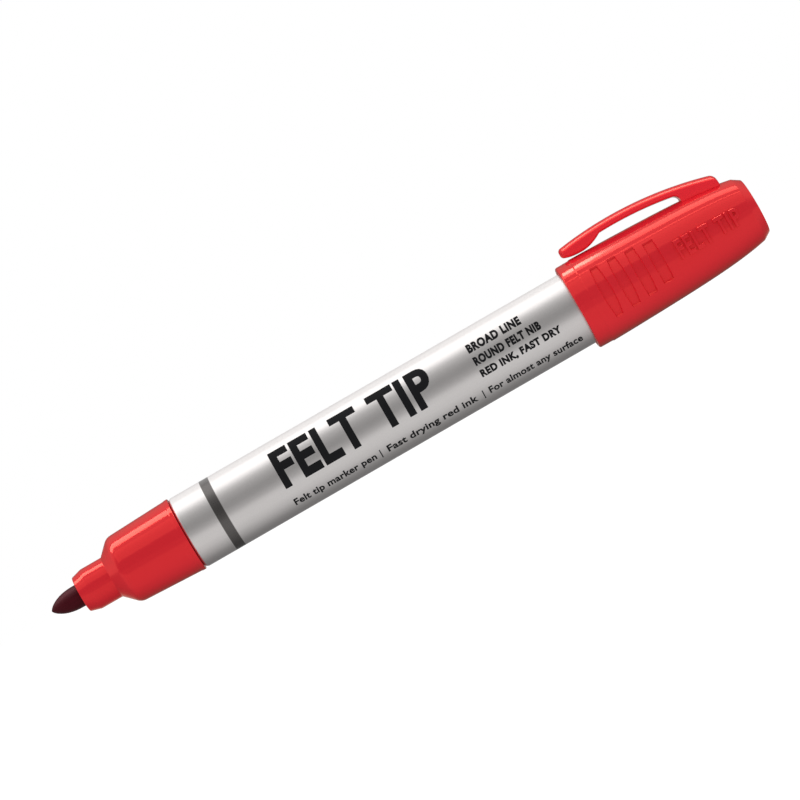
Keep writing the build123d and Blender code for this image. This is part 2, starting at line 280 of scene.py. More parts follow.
def natural_plastic(graph, place):
    """Uncoloured polyethylene, slightly milky, with a soft moulded sheen."""
    milk = graph.noise(place, 220.0, 2.0)
    fine = graph.noise(place, 2200.0, 2.0)
    return {
        "Base Color": graph.mix_colour(milk, (0.80, 0.79, 0.75, 1.0), (0.88, 0.87, 0.84, 1.0)),
        "Roughness": 0.38 + fine * 0.12,
        "Normal": bump(graph, fine, 0.000008),
    }


def clear_film(graph, place):
    """Thin clear film with faint lengthwise creases."""
    crease = graph.noise(graph.stretched(place, (0.1, 1.0, 1.0)), 900.0, 2.0)
    return {
        "Base Color": graph.mix_colour(crease, (0.82, 0.82, 0.82, 1.0), (0.92, 0.92, 0.92, 1.0)),
        "Roughness": 0.15 + crease * 0.15,
        "Alpha": 0.25 + crease * 0.2,
    }


def printed_black(graph, place):
    """Screen-printed ink: nearly black, with the metal's grain telegraphing through its gloss."""
    grain = graph.noise(place, 4200.0, 2.0)
    return {
        "Base Color": graph.mix_colour(grain, (0.006, 0.006, 0.007, 1.0), (0.011, 0.011, 0.013, 1.0)),
        "Roughness": 0.5 + grain * 0.12,
        "Normal": bump(graph, grain, 0.000006),
    }


ORANGE_GLINT = (1.0, 0.86, 0.30, 1.0)
PINK_GLINT = (1.0, 0.30, 0.36, 1.0)
red_finish = finish_material(
    "red_moulded_plastic", moulded_red, Metallic=0.2, IOR=1.36, Specular_Tint=ORANGE_GLINT
)
barrel_finish = finish_material("satin_aluminium", satin_aluminium, Metallic=1.0)
nib_finish = finish_material("inked_nib_fibre", inked_fibre, IOR=1.34, Specular_Tint=PINK_GLINT)
reservoir_finish = finish_material("reservoir_fibre", reservoir_fibre)
liner_finish = finish_material("natural_plastic", natural_plastic, IOR=1.5)
film_finish = finish_material("clear_film", clear_film, IOR=1.5)
print_finish = finish_material("printed_black_ink", printed_black, IOR=1.25)


# ---------------------------------------------------------------------- mesh tools
SMOOTH_LIMIT = radians(32)
COLUMNS = [2 * pi * step / 192 for step in range(192)]


def rounded(corners, steps=6):
    """An outline through corners (x, radius, rounding), each corner that has a rounding turned to an arc."""
    outline = []
    for number, corner in enumerate(corners):
        here = Vector(corner[:2])
        if len(corner) < 3:
            outline.append(tuple(here))
            continue
        back = (Vector(corners[number - 1][:2]) - here).normalized()
        ahead = (Vector(corners[(number + 1) % len(corners)][:2]) - here).normalized()
        half = back.angle(ahead) / 2
        centre = here + (back + ahead).normalized() * corner[2] / sin(half)
        start = here + back * corner[2] / tan(half) - centre
        end = here + ahead * corner[2] / tan(half) - centre
        turn = start.angle(end)
        for step in range(steps + 1):
            share = step / steps
            arm = start * sin((1 - share) * turn) + end * sin(share * turn)
            outline.append(tuple(centre + arm / sin(turn)))
    return outline


def piece(name, shape, finish):
    """An object of a finished shape, its faces turned outwards and smooth up to a sharp edge."""
    bmesh.ops.recalc_face_normals(shape, faces=shape.faces)
    mesh = bpy.data.meshes.new(name)
    shape.to_mesh(mesh)
    shape.free()
    made = bpy.data.objects.new(name, mesh)
    bpy.context.scene.collection.objects.link(made)
    mesh.materials.append(finish)
    mesh.shade_smooth()
    mesh.set_sharp_from_angle(angle=SMOOTH_LIMIT)
    return made


def lathe(outline, columns=None):
    """A closed turned shape about the X axis; an outline that starts on the axis also ends on it."""
    shape = bmesh.new()
    rings = []
    for x, radius in outline:
        if radius < 1e-6:
            rings.append([shape.verts.new((x * MM, 0, 0))])
            continue
        spots = [(x * MM, -radius * cos(a) * MM, radius * sin(a) * MM) for a in columns or COLUMNS]
        rings.append([shape.verts.new(spot) for spot in spots])
    pairs = list(zip(rings, rings[1:]))
    if outline[0][1] > 0:
        pairs.append((rings[-1], rings[0]))
    for ring, after in pairs:
        count = max(len(ring), len(after))
        for step in range(count):
            corners = [ring[step % len(ring)], ring[(step + 1) % len(ring)]]
            corners += [after[(step + 1) % len(after)], after[step % len(after)]]
            shape.faces.new(list(dict.fromkeys(corners)))
    return shape


def evaluated_copy(thing):
    """What an object's modifiers or its text make of it, as a plain mesh."""
    return bpy.data.meshes.new_from_object(thing.evaluated_get(bpy.context.evaluated_depsgraph_get()))


# ---------------------------------------------------------------------- barrel
WALL = 0.4
SHOULDER = 0.75
MOUTH = barrel_radius - 1.15
BASE_ROUNDING = 1.3
DIMPLE_RADIUS = 3.6
DIMPLE_DEPTH = 0.35
BASE_WALL = 0.8

bore = barrel_radius - WALL
dimple_floor = barrel_rear - DIMPLE_DEPTH
barrel_outline = rounded(
    [
        (dimple_floor - BASE_WALL, 0),
        (dimple_floor - BASE_WALL, bore, 0.5),
        (barrel_front + WALL, bore, SHOULDER - WALL),
        (barrel_front + WALL, MOUTH, 0.15),
        (barrel_front, MOUTH, 0.15),
        (barrel_front, barrel_radius, SHOULDER),
        (barrel_rear, barrel_radius, BASE_ROUNDING),
        (barrel_rear, DIMPLE_RADIUS, 0.3),
        (dimple_floor, DIMPLE_RADIUS - DIMPLE_DEPTH, 0.3),
        (dimple_floor, 0),
    ],
    steps=8,
)
barrel_skin = piece("barrel_can", lathe(barrel_outline), barrel_finish)
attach(barrel_skin, "barrel")
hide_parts("barrel")

# ---------------------------------------------------------------------- nose section
NECK_RADIUS = 3.87
NECK_TIP_RADIUS = 3.3
NECK_TAPER = 2.0
NECK_LENGTH = 6.1
CROWN_RADIUS = 6.35
SKIRT_RADIUS = 6.86
FLANGE_THICKNESS = 0.5
NIB_HOLE = nib_radius + 0.03
SPIGOT_RADIUS = bore - 0.05
CAVITY_RADIUS = 5.0
GUIDE_LENGTH = 7.0
GUIDE_RADIUS = 3.0
CAVITY_DEPTH = 10.5

neck_rear = neck_face + NECK_LENGTH
crown_start = neck_rear + CROWN_RADIUS - NECK_RADIUS
flange_front = barrel_front - FLANGE_THICKNESS
groove_rear = barrel_front + WALL + 0.05
cavity_front = barrel_front - CAVITY_DEPTH
nose_outline = rounded(
    [
        (neck_face, NIB_HOLE, 0.12),
        (neck_face, NECK_TIP_RADIUS, 0.25),
        (neck_face + NECK_TAPER, NECK_RADIUS, 1.2),
        (neck_rear, NECK_RADIUS, 0.22),
        (crown_start, CROWN_RADIUS, 2.2),
        (flange_front - 0.35, SKIRT_RADIUS, 0.3),
        (flange_front - 0.15, flange_radius, 0.08),
        (barrel_front, flange_radius, 0.12),
        (barrel_front, MOUTH - 0.05),
        (groove_rear, MOUTH - 0.05),
        (groove_rear + SPIGOT_RADIUS - MOUTH, SPIGOT_RADIUS),
        (spigot_rear, SPIGOT_RADIUS, 0.3),
        (spigot_rear, CAVITY_RADIUS),
        (cavity_front, CAVITY_RADIUS),
        (cavity_front, GUIDE_RADIUS),
        (cavity_front + GUIDE_LENGTH, GUIDE_RADIUS),
        (cavity_front + GUIDE_LENGTH, NIB_HOLE),
    ],
    steps=8,
)
nose = piece("nose_moulding", lathe(nose_outline), red_finish)
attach(nose, "barrel")
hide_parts("nose_section")

# ---------------------------------------------------------------------- nib
OGIVE_LENGTH = 5.4
OGIVE_FULLNESS = 2.35
OGIVE_BLUNTNESS = 1.4
NIB_TAIL_LENGTH = 3.5
NIB_TAIL_RADIUS = 0.9
OGIVE_STEPS = 22
OGIVE_CROWDING = 1.8


def ogive(share):
    """Radius of the nib at a share of the ogive's length: a superellipse, blunt at the tip."""
    return nib_radius * (1 - (1 - share) ** OGIVE_FULLNESS) ** (1 / OGIVE_BLUNTNESS)


nib_outline = [(nib_tip, 0)]
for step in range(1, OGIVE_STEPS + 1):
    share = (step / OGIVE_STEPS) ** OGIVE_CROWDING
    nib_outline.append((nib_tip + share * OGIVE_LENGTH, ogive(share)))
nib_outline += [(nib_tail - NIB_TAIL_LENGTH, nib_radius), (nib_tail, NIB_TAIL_RADIUS), (nib_tail, 0)]
nib = piece("bullet_nib_rod", lathe(nib_outline), nib_finish)
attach(nib, "barrel")
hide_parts("bullet_nib")

# ---------------------------------------------------------------------- cap
LIP_RADIUS = 7.88
LIP_LENGTH = 2.85
LIP_STEP = 0.22
LIP_FLARE = 0.03
LIP_RINGS = (0.2, 0.35, 0.5, 0.65, 0.8)
CAP_BORE = 7.0
MOUTH_CHAMFER = 0.3
END_CHAMFER = 1.5
END_RADIUS = 5.1
CAP_BACK_WALL = 1.1
CAP_END_WALL = 1.1
LINER_SEAT = 0.8
FLANK_TAPER = 0.6
FLANK_BOW = 0.5
FLANK_TURN = 0.85
cap_shoulder = cap_rear - END_CHAMFER
flank_start = cap_lip + LIP_LENGTH
liner_seat = liner_low.x + LINER_SEAT


def flank(x):
    """Radius of the cap behind its lip: nearly straight at first and rounding in towards the closed end."""
    share = (x - flank_start) / (cap_shoulder - flank_start)
    return cap_radius - FLANK_TAPER * share - FLANK_BOW * share**2 - FLANK_TURN * share**6


GRIP_FIRST = 5.56
GRIP_PITCH = 3.41
GRIP_COUNT = 4
GRIP_DEPTH = 0.42
GRIP_MIDDLE_WIDTH = 2.15
GRIP_FIRST_END_WIDTH = 1.35
GRIP_END_WIDTH_GAIN = 0.2
GRIP_EDGE = 0.15
GRIP_HALF_HEIGHT = 4.8
GRIP_SHORTENING = 0.04
GRIP_SHORTENING_GAIN = 0.08


def grip_half_height(number):
    """The pads get shorter towards the closed end, and faster as they go."""
    return GRIP_HALF_HEIGHT - GRIP_SHORTENING * number - GRIP_SHORTENING_GAIN * number**2


def spread(start, end, step):
    """Even places from start up to end, about a step apart, without the end itself."""
    count = max(1, round((end - start) / step))
    return [start + (end - start) * number / count for number in range(count)]


# rings along the cap and columns round it, close together only where the grip pads are
PAD_MARGIN = 1.5
FRONT_RING_STEP, PAD_RING_STEP, REAR_RING_STEP = 0.3, 0.09, 0.5
PAD_COLUMN_STEP, PLAIN_COLUMN_STEP = radians(0.62), radians(2.2)
grip_start = cap_lip + GRIP_FIRST - PAD_MARGIN
grip_end = cap_lip + GRIP_FIRST + GRIP_PITCH * (GRIP_COUNT - 1) + PAD_MARGIN
places = spread(flank_start + 0.25, grip_start, FRONT_RING_STEP)
places += spread(grip_start, grip_end, PAD_RING_STEP)
places += spread(grip_end, cap_shoulder - 0.3, REAR_RING_STEP)
pad_angle = radians(41)
cap_columns = []
for side in (0, pi):
    cap_columns += spread(side - pad_angle, side + pad_angle, PAD_COLUMN_STEP)
    cap_columns += spread(side + pad_angle, side + pi - pad_angle, PLAIN_COLUMN_STEP)

cap_outline = rounded(
    [
        (cap_rear - CAP_END_WALL, 0),
        (cap_rear - CAP_END_WALL, flank(cap_shoulder) - CAP_BACK_WALL, 0.5),
        ((liner_seat + cap_rear) / 2, flank((liner_seat + cap_rear) / 2) - CAP_BACK_WALL),
        (liner_seat, flank(liner_seat) - CAP_BACK_WALL),
        (liner_seat, CAP_BORE),
        (cap_lip + MOUTH_CHAMFER, CAP_BORE, 0.1),
        (cap_lip, CAP_BORE + MOUTH_CHAMFER, 0.1),
        (cap_lip, LIP_RADIUS, 0.4),
        *[(cap_lip + LIP_LENGTH * share, LIP_RADIUS + LIP_FLARE * share) for share in LIP_RINGS],
        (flank_start - LIP_STEP, LIP_RADIUS + LIP_FLARE, 0.05),
        (flank_start, cap_radius, 0.08),
    ]
    + [(x, flank(x)) for x in places]
    + [
        (cap_shoulder, flank(cap_shoulder), 0.35),
        (cap_rear, END_RADIUS, 0.25),
        (cap_rear, 0),
    ],
    steps=5,
)


def set_sizes(modifier, **sizes):
    """Gives a geometry tree's named inputs their values, by each socket's identifier."""
    for socket in modifier.node_group.interface.items_tree:
        if socket.in_out == "INPUT" and socket.name in sizes:
            modifier[socket.identifier] = sizes[socket.name]


def geometry_tree(name, sizes):
    """An empty geometry tree with a geometry in and out, and named float inputs."""
    tree = bpy.data.node_groups.new(name, "GeometryNodeTree")
    tree.interface.new_socket("Geometry", in_out="INPUT", socket_type="NodeSocketGeometry")
    tree.interface.new_socket("Geometry", in_out="OUTPUT", socket_type="NodeSocketGeometry")
    for size in sizes:
        tree.interface.new_socket(size, in_out="INPUT", socket_type="NodeSocketFloat")
    graph = Graph(tree)
    entry = graph.node("NodeGroupInput")
    wires = {output.name: Wire(graph, output) for output in entry.outputs if output.name}
    return graph, wires


def close_tree(graph, geometry, finish):
    """Ends a geometry tree in real mesh with its finish on."""
    real = graph.add("GeometryNodeRealizeInstances", {}, [geometry])
    finished = graph.add("GeometryNodeSetMaterial", {}, {"Geometry": real, "Material": finish})
    graph.node("NodeGroupOutput", {}, [finished])
    return graph.tree


def grip_pad_tree():
    """Presses the row of grip pads into both sides of the cap, each pad bowed and smooth-edged."""
    graph, sizes = geometry_tree("grip_pads", ["First", "Pitch", "Depth", "Middle Width", "Edge"])
    place = graph.add("GeometryNodeInputPosition")
    x, y, z = graph.split(place)
    radius = (y * y + z * z) ** 0.5
    pads = None
    for number in range(GRIP_COUNT):
        half_height = grip_half_height(number) * MM
        end_width = (GRIP_FIRST_END_WIDTH + GRIP_END_WIDTH_GAIN * number) * MM
        bow = 1 - (z / half_height) * (z / half_height)
        half_width = (end_width + (sizes["Middle Width"] - end_width) * bow) / 2
        off_middle = abs(x - (sizes["First"] + sizes["Pitch"] * number))
        beside = graph.smooth_step(half_width - off_middle, 0.0, sizes["Edge"])
        beyond = graph.smooth_step(half_height - abs(z), 0.0, sizes["Edge"])
        pads = beside * beyond if pads is None else pads + beside * beyond
    outside = radius.math("GREATER_THAN", (CAP_BORE + 0.3) * MM)
    depth = pads * outside * sizes["Depth"]
    inwards = graph.add("ShaderNodeCombineXYZ", {}, [0.0, -(y / radius) * depth, -(z / radius) * depth])
    pressed = graph.add("GeometryNodeSetPosition", {}, {"Geometry": sizes["Geometry"], "Offset": inwards})
    return close_tree(graph, pressed, red_finish)


def shape_by_tree(thing, tree, **sizes):
    """Puts an object through a geometry tree and keeps the result as its plain mesh."""
    modifier = thing.modifiers.new(tree.name, "NODES")
    modifier.node_group = tree
    set_sizes(modifier, **sizes)
    mesh = evaluated_copy(thing)
    thing.modifiers.remove(modifier)
    thing.data = mesh
    mesh.shade_smooth()
    mesh.set_sharp_from_angle(angle=SMOOTH_LIMIT)


cap = piece("cap_moulding", lathe(cap_outline, cap_columns), red_finish)
shape_by_tree(
    cap,
    grip_pad_tree(),
    **{
        "First": (cap_lip + GRIP_FIRST) * MM,
        "Pitch": GRIP_PITCH * MM,
        "Depth": GRIP_DEPTH * MM,
        "Middle Width": GRIP_MIDDLE_WIDTH * MM,
        "Edge": GRIP_EDGE * MM,
    },
)
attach(cap, "cap")
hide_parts("cap_shell")

# ---------------------------------------------------------------------- ribs inside the cap
RIB_COUNT = 6
RIB_WIDTH = 0.8
RIB_START = 3.0


def cap_rib_tree():
    """Straight ribs along the cap's bore, evenly round the axis."""
    graph, sizes = geometry_tree("cap_ribs", ["Length", "Width", "Height", "Middle", "Radius"])
    lengths = [sizes["Length"], sizes["Height"], sizes["Width"]]
    block_size = graph.add("ShaderNodeCombineXYZ", {}, lengths)
    block_inputs = {"Size": block_size, "Vertices X": 9, "Vertices Z": 4}
    block = graph.add("GeometryNodeMeshCube", {}, block_inputs)
    angle = graph.add("GeometryNodeInputIndex") * (2 * pi / RIB_COUNT)
    spot = [sizes["Middle"], angle.math("COSINE") * sizes["Radius"], angle.math("SINE") * sizes["Radius"]]
    spots = graph.add("ShaderNodeCombineXYZ", {}, spot)
    points = graph.add("GeometryNodePoints", {}, {"Count": RIB_COUNT, "Position": spots})
    turn = graph.add("ShaderNodeCombineXYZ", {}, [angle, 0.0, 0.0])
    inputs = {"Points": points, "Instance": block, "Rotation": turn}
    return close_tree(graph, graph.add("GeometryNodeInstanceOnPoints", {}, inputs), red_finish)


rib_inner = barrel_radius + 0.05
rib_outer = CAP_BORE + 0.2
rib_length = barrel_rear - cap_lip - RIB_START
ribs = piece("cap_inner_ribs", bmesh.new(), red_finish)
shape_by_tree(
    ribs,
    cap_rib_tree(),
    **{
        "Length": rib_length * MM,
        "Width": RIB_WIDTH * MM,
        "Height": (rib_outer - rib_inner) * MM,
        "Middle": (barrel_rear - rib_length / 2) * MM,
        "Radius": (rib_inner + rib_outer) / 2 * MM,
    },
)
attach(ribs, "cap")

# ---------------------------------------------------------------------- liner in the cap
LINER_BORE = NECK_RADIUS + 0.08
LINER_WALL = 0.8
LINER_FLANGE = 0.8
bead = liner_low.x + 0.9
liner_outline = rounded(
    [
        (liner_high.x - LINER_WALL, 0),
        (liner_high.x - LINER_WALL, LINER_BORE, 0.6),
        (bead + 0.3, LINER_BORE, 0.2),
        (bead, LINER_BORE - 0.06, 0.1),
        (bead - 0.3, LINER_BORE, 0.2),
        (liner_low.x, LINER_BORE, 0.12),
        (liner_low.x, liner_high.z, 0.15),
        (liner_low.x + LINER_FLANGE, liner_high.z, 0.15),
        (liner_low.x + LINER_FLANGE, LINER_BORE + LINER_WALL, 0.3),
        (liner_high.x, LINER_BORE + LINER_WALL, 0.7),
        (liner_high.x, 0),
    ]
)
liner = piece("cap_liner_cup", lathe(liner_outline), liner_finish)
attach(liner, "cap")
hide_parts("cap_liner")

# ---------------------------------------------------------------------- pocket clip
CLIP_ARC = 68.0
CLIP_THICKNESS = 1.7
CLIP_CROWN = cap_lip + 12.38
CONTACT = cap_lip + 5.9
CONTACT_REAR = cap_lip + 9.85
CONTACT_HEIGHT = clip_low.z
TIP_DROP = 0.7
TIP_HALF_WIDTH = 1.95
ROOT_HALF_WIDTH = 2.5
TIP_ROUNDING = 0.6
ROOT_REAR = cap_rear - 3.6
ROOT_FRONT = ROOT_REAR - 8.2
ROOT_FILLET = 0.95
ROOT_SINK = 0.7
ROOT_CORNER = 0.45
BUMP_FALL_CURVE = 2.6
BUMP_RISE = 1.32
BUMP_RISE_CURVE = 1.8
UNDER_TIP_SHARE = 0.7
REAR_ROUNDING = 0.9
TOP_ROUNDING = 1.05
TOP_SPREAD = 0.85
UNDER_ROUNDING = 0.6
TOP_CROWN = 0.04
CORNER_STEPS = 9
FLAT_STEPS = 8
clip_arc_centre = clip_crown_height - CLIP_ARC


def quarter(distance, rounding):
    """How far a rounded corner has fallen, at a distance in from its end."""
    if distance >= rounding:
        return 0.0
    return rounding - sqrt(max(0.0, rounding**2 - (rounding - distance) ** 2))


def clip_top(x):
    """Height of the clip's top: one long arc, rounded at the tip and the rear."""
    arc = clip_arc_centre + sqrt(CLIP_ARC**2 - (x - CLIP_CROWN) ** 2)
    return arc - quarter(x - clip_tip, TIP_ROUNDING) - quarter(ROOT_REAR - x, REAR_ROUNDING)


def clip_underside(x):
    """Height of the clip's underside: the bump under the tip, the arm's arc, and the root down in the cap."""
    if x < CONTACT:
        share = (CONTACT - x) / (CONTACT - clip_tip)
        bump = CONTACT_HEIGHT + TIP_DROP * share**BUMP_FALL_CURVE
        return bump + quarter(x - clip_tip, TIP_ROUNDING * UNDER_TIP_SHARE)
    arc = clip_arc_centre + sqrt((CLIP_ARC - CLIP_THICKNESS) ** 2 - (x - CLIP_CROWN) ** 2)
    if x < CONTACT_REAR:
        share = (x - CONTACT) / (CONTACT_REAR - CONTACT)
        return min(arc, CONTACT_HEIGHT + BUMP_RISE * share**BUMP_RISE_CURVE)
    if x < ROOT_FRONT:
        return arc
    if x < ROOT_FRONT + ROOT_FILLET:
        return arc - ROOT_FILLET + sqrt(ROOT_FILLET**2 - (x - ROOT_FRONT) ** 2)
    return flank(x) - ROOT_SINK


def clip_half_width(x):
    """Half the clip's width: round in plan at the tip, widening evenly to the root."""
    turn = clip_tip + TIP_HALF_WIDTH
    if x < turn:
        return TIP_HALF_WIDTH * sqrt(max(0.0, 1 - ((turn - x) / TIP_HALF_WIDTH) ** 2))
    widening = (x - turn) / (ROOT_REAR - turn) * (ROOT_HALF_WIDTH - TIP_HALF_WIDTH)
    return TIP_HALF_WIDTH + widening - quarter(ROOT_REAR - x, ROOT_CORNER)


def clip_section(x):
    """One slice across the clip: a bar with a broad rounding over its top and a small one under it."""
    half, low, high = max(clip_half_width(x), 0.02), clip_underside(x), clip_top(x)
    top = min(TOP_ROUNDING, (high - low) * 0.6)
    under = min(UNDER_ROUNDING, half * 0.95, (high - low) * 0.35)
    spread_top = half * TOP_SPREAD
    slice_points = []
    for y_sign, z_sign in ((1, -1), (1, 1), (-1, 1), (-1, -1)):
        across, tall = (spread_top, top) if z_sign > 0 else (under, under)
        centre_y = y_sign * (half - across)
        centre_z = high - tall if z_sign > 0 else low + tall
        first = atan2(z_sign, y_sign) - pi / 4
        for step in range(CORNER_STEPS + 1):
            angle = first + pi / 2 * step / CORNER_STEPS
            slice_points.append((centre_y + across * cos(angle), centre_z + tall * sin(angle)))
        if y_sign == z_sign == 1:
            for step in range(1, FLAT_STEPS):
                slice_points.append((centre_y * (1 - 2 * step / FLAT_STEPS), high))
    return [(y, z - TOP_CROWN * (y / half) ** 2 if z > low + under else z) for y, z in slice_points]


def clip_places():
    """Places along the clip, close together where its outline turns."""
    tip = [clip_tip + TIP_HALF_WIDTH * (1 - cos(pi / 2 * step / 14)) for step in range(14)]
    arm = spread(tip[-1] + 0.1, CONTACT_REAR - 0.6, 0.3)
    arm += spread(CONTACT_REAR - 0.6, CONTACT_REAR + 0.6, 0.1)
    arm += spread(CONTACT_REAR + 0.6, ROOT_FRONT, 0.6)
    fillet = [ROOT_FRONT + ROOT_FILLET * sin(pi / 2 * step / 12) for step in range(13)]
    root = spread(ROOT_FRONT + ROOT_FILLET + 0.02, ROOT_REAR - REAR_ROUNDING, 0.5)
    rear = [ROOT_REAR - REAR_ROUNDING * (1 - sin(pi / 2 * step / 12)) for step in range(13)]
    return tip + arm + fillet + root + rear


def clip_shape():
    """The clip lofted through its slices, arm and root in one."""
    shape = bmesh.new()
    rings = [[shape.verts.new((x * MM, y * MM, z * MM)) for y, z in clip_section(x)] for x in clip_places()]
    for ring, after in zip(rings, rings[1:]):
        for step in range(len(ring)):
            following = (step + 1) % len(ring)
            shape.faces.new((ring[step], ring[following], after[following], after[step]))
    shape.faces.new(rings[0])
    shape.faces.new(rings[-1])
    return shape


clip = piece("pocket_clip_moulding", clip_shape(), red_finish)
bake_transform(clip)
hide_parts("pocket_clip")

# ---------------------------------------------------------------------- lettering
CUT_STEP = 0.45
SUNK_SHARE = 0.35  # of the letters' mid-plane above the surface, so that their backs are sunk in it


def lettering(words, weight, spacing, bevel):
    """Letters in the program's own plain font, one unit deep, with upright or sloped sides."""
    text = bpy.data.curves.new("letters", "FONT")
    text.body = words
    text.resolution_u = 5
    text.offset = weight
    text.extrude = 0.0 if bevel else 0.5
    text.bevel_depth = bevel
    text.space_character = spacing
    holder = bpy.data.objects.new("letters", text)
    bpy.context.scene.collection.objects.link(holder)
    bpy.context.view_layer.update()
    mesh = evaluated_copy(holder)
    shape = bmesh.new()
    shape.from_mesh(mesh)
    bpy.data.objects.remove(holder)
    bpy.data.meshes.remove(mesh)
    if bevel:
        bmesh.ops.scale(shape, vec=(1, 1, 0.5 / bevel), verts=shape.verts)
    return shape


def wrapped_words(words, left, right, low, high, radius_at, raised, weight, spacing, bevel=0.0):
    """Letters laid round the near side, from left to right along the axis and from a low to a high height."""
    shape = lettering(words, weight, spacing, bevel)
    lows = [min(vert.co[axis] for vert in shape.verts) for axis in range(2)]
    highs = [max(vert.co[axis] for vert in shape.verts) for axis in range(2)]
    middle_radius = radius_at((left + right) / 2)
    angle_low, angle_high = asin(low / middle_radius), asin(high / middle_radius)
    cuts = max(1, round((high - low) / CUT_STEP))
    for number in range(1, cuts):
        height = lows[1] + (highs[1] - lows[1]) * number / cuts
        everything = shape.verts[:] + shape.edges[:] + shape.faces[:]
        bmesh.ops.bisect_plane(shape, geom=everything, plane_co=(0, height, 0), plane_no=(0, 1, 0))
    for vert in shape.verts:
        x = left + (right - left) * (vert.co.x - lows[0]) / (highs[0] - lows[0])
        angle = angle_low + (angle_high - angle_low) * (vert.co.y - lows[1]) / (highs[1] - lows[1])
        radius = radius_at(x) + raised * (vert.co.z + SUNK_SHARE)
        vert.co = Vector((x, -radius * cos(angle), radius * sin(angle))) * MM
    return shape


def on_barrel(_):
    return barrel_radius


def joined(shapes):
    """Several shapes as one."""
    whole = bmesh.new()
    for shape in shapes:
        mesh = bpy.data.meshes.new("part")
        shape.to_mesh(mesh)
        shape.free()
        whole.from_mesh(mesh)
        bpy.data.meshes.remove(mesh)
    return whole


# how much each sort of letter is thickened, and how far apart its letters stand
BIG_STYLE = {"weight": 0.035, "spacing": 1.05}
LINE_STYLE = {"weight": 0.028, "spacing": 1.04}
BLOCK_STYLE = {"weight": 0.06, "spacing": 1.12}
RAISED_STYLE = {"weight": 0.0, "spacing": 1.12, "bevel": 0.035}

INK = 0.02
print_left = barrel_front + 19.0
big_word_right = print_left + 30.8
big_word = wrapped_words("FELT TIP", print_left, big_word_right, -1.9, 4.9, on_barrel, INK, **BIG_STYLE)
wordmark = piece("print_large_word", big_word, print_finish)
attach(wordmark, "barrel")

small_low, small_high = -5.5, -4.05
line_words = [
    ("Felt tip marker pen", print_left + 0.05, print_left + 16.2),
    ("|", print_left + 17.05, print_left + 17.25),
    ("Fast drying red ink", print_left + 18.5, print_left + 36.3),
    ("|", print_left + 37.45, print_left + 37.65),
    ("For almost any surface", print_left + 38.7, print_left + 57.1),
]
small_line = joined(
    [
        wrapped_words(words, left, right, small_low, small_high, on_barrel, INK, **LINE_STYLE)
        for words, left, right in line_words
    ]
)
small_print = piece("print_small_line", small_line, print_finish)
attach(small_print, "barrel")

block_left = print_left + 38.8
block_words = [
    ("BROAD LINE", block_left + 10.4, 2.5, 4.1),
    ("ROUND FELT NIB", block_left + 13.0, 0.05, 1.65),
    ("RED INK, FAST DRY", block_left + 15.8, -2.4, -0.8),
]
block = joined(
    [
        wrapped_words(words, block_left, right, low, high, on_barrel, INK, **BLOCK_STYLE)
        for words, right, low, high in block_words
    ]
)
block_print = piece("print_three_lines", block, print_finish)
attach(block_print, "barrel")

EMBLEM_RISE = 0.45
EMBLEM_LENGTH = 12.4
EMBLEM_HALF_HEIGHT = 1.7
emblem_left = cap_rear - 16.1
emblem_words = wrapped_words(
    "FELT TIP",
    emblem_left,
    emblem_left + EMBLEM_LENGTH,
    -EMBLEM_HALF_HEIGHT,
    EMBLEM_HALF_HEIGHT,
    flank,
    EMBLEM_RISE,
    **RAISED_STYLE,
)
emblem = piece("cap_raised_word", emblem_words, red_finish)
emblem.data.shade_flat()
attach(emblem, "cap")

# ---------------------------------------------------------------------- finishes on the inner pieces
for node, finish in (
    ("ink_reservoir", reservoir_finish),
    ("reservoir_wrap", film_finish),
    ("breather_tube", liner_finish),
):
    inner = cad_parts[node]
    for number in range(len(inner.material_slots)):
        inner.material_slots[number].material = finish


# ---------------------------------------------------------------------- floor, light and camera
FLOOR_HALF = 2.0
# the floor's glow, painted light on the object, with the marker's shadow painted dim into it, from under the
# marker out to GLOW_SPAN from its axis
FLOOR_GLOW_WITH_PAINTED_SHADOW = [
    (0.0, 0.15),
    (0.07, 0.20),
    (0.13, 0.35),
    (0.19, 0.49),
    (0.28, 0.57),
    (0.70, 0.58),
    (0.92, 0.38),
    (1.0, 0.30),
]
GLOW_SPAN = 0.036
PAPER = 0.1
FLOOR_LIFT = 0.32
WORLD_LIFT = 0.3


def floor_material():
    """White where it is looked at; to the object it glows as painted light, with a painted shadow making it
    dimmer under the marker.
    """
    material = bpy.data.materials.new("pale_floor")
    material.use_nodes = True
    tree = material.node_tree
    tree.nodes.remove(tree.nodes["Principled BSDF"])
    graph = Graph(tree)
    off_axis = abs(graph.split(graph.add("ShaderNodeTexCoord", output=3))[1]) / GLOW_SPAN
    # painted shadow: the floor's glow is dimmest straight under the marker and brightens away from its axis
    glow = graph.add("ShaderNodeValToRGB", {"stops": FLOOR_GLOW_WITH_PAINTED_SHADOW}, [off_axis])
    rays = graph.node("ShaderNodeLightPath")
    shown = graph.mix_colour(Wire(graph, rays.outputs["Is Camera Ray"]), glow, (1.0, 1.0, 1.0, 1.0))
    # painted light: the floor glows brighter still for the object's diffuse shading
    lift = Wire(graph, rays.outputs["Is Diffuse Ray"]) * FLOOR_LIFT + 1.0
    light = graph.add("ShaderNodeEmission", {}, [shown, lift])
    paper = graph.add("ShaderNodeBsdfDiffuse", {}, {"Color": (PAPER, PAPER, PAPER, 1.0)})
    both = graph.add("ShaderNodeAddShader", {}, [light, paper])
    tree.links.new(both.socket, tree.nodes["Material Output"].inputs["Surface"])
    return material


floor_shape = bmesh.new()
floor_height = cad_low.z
floor_corners = [(-1, -1), (1, -1), (1, 1), (-1, 1)]
floor_spots = [(x * FLOOR_HALF, y * FLOOR_HALF, floor_height) for x, y in floor_corners]
floor_shape.faces.new([floor_shape.verts.new(spot) for spot in floor_spots])
floor = piece("floor", floor_shape, floor_material())

